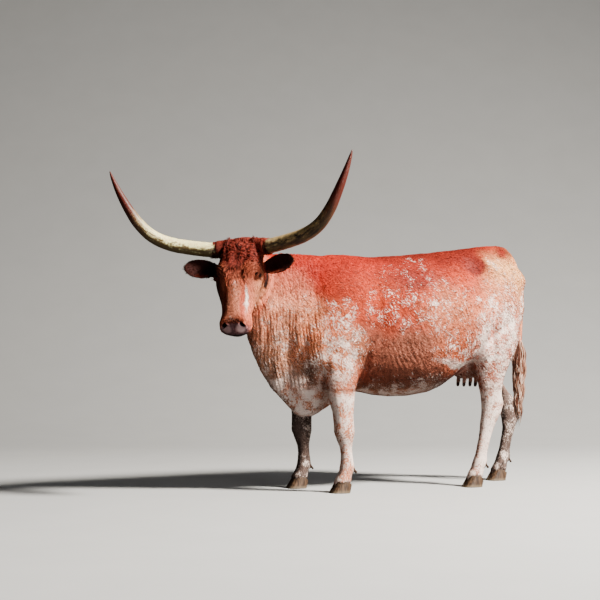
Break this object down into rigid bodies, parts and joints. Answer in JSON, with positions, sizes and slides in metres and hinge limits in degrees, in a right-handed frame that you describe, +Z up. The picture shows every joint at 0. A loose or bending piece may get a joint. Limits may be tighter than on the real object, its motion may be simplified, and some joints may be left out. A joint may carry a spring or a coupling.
{
  "type": "texas longhorn",
  "caption": "Still life-size model of a standing longhorn cow, head turned to her left, with wide upswept horns, cupped ears, dewlap, udder and a hanging tail with a hair switch.",
  "frame": {"origin": "on the floor, under the middle of the cow's box", "axes": "-Y is where her chest faces, +X is her left side, +Z is up"},
  "size_m": [1.0438, 2.5522, 1.7819],
  "materials": {
    "hide": "short red-brown coat with roan white flecks, satin",
    "legs": "short roan coat, paler than the body, satin",
    "horn": "cream horn with brown mottling, dark tips, smooth and slightly glossy",
    "claw": "dark brown hoof horn, dull",
    "eye": "dark brown, wet and glossy",
    "udder": "nearly bare pinkish-brown skin with dark teats",
    "hair": "long tan and brown tail hair"
  },
  "bodies": {
    "root": {"torso": "hide", "neck": "hide", "head": "hide", "horn_left": "horn", "horn_right": "horn", "ear_left": "hide", "ear_right": "hide", "eye_left": "eye", "eye_right": "eye", "leg_fore_left": "legs", "claw_fore_left_outer": "claw", "claw_fore_left_inner": "claw", "leg_fore_right": "legs", "claw_fore_right_outer": "claw", "claw_fore_right_inner": "claw", "leg_hind_left": "legs", "claw_hind_left_outer": "claw", "claw_hind_left_inner": "claw", "leg_hind_right": "legs", "claw_hind_right_outer": "claw", "claw_hind_right_inner": "claw", "udder": "udder", "tail_dock": "hide", "tail_switch": "hair"}
  },
  "joints": []
}
